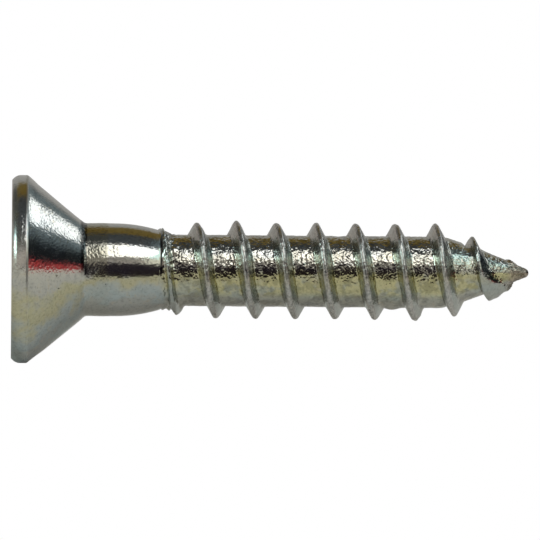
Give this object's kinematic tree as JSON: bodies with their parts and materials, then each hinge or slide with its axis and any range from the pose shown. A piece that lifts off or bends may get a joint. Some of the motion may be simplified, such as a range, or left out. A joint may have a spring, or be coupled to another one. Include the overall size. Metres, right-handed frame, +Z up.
{
  "type": "wood screw",
  "caption": "Countersunk wood screw, 25.4 mm, with a cross recess, a short plain shank, a coarse right-hand thread and a gimlet point.",
  "frame": {"origin": "centre of the head's flat face, the plane that is flush with the wood's surface when the screw is driven home", "axes": "+X along the screw's axis from the head to the point; +Y and +Z across it, with +Z up as the screw lies"},
  "size_m": [0.0254, 0.0092, 0.0092],
  "materials": {
    "zinc_plate": "bright zinc plate on steel with a clear-blue to pale yellow passivation tint"
  },
  "bodies": {
    "root": {"screw": "zinc_plate"}
  },
  "joints": []
}
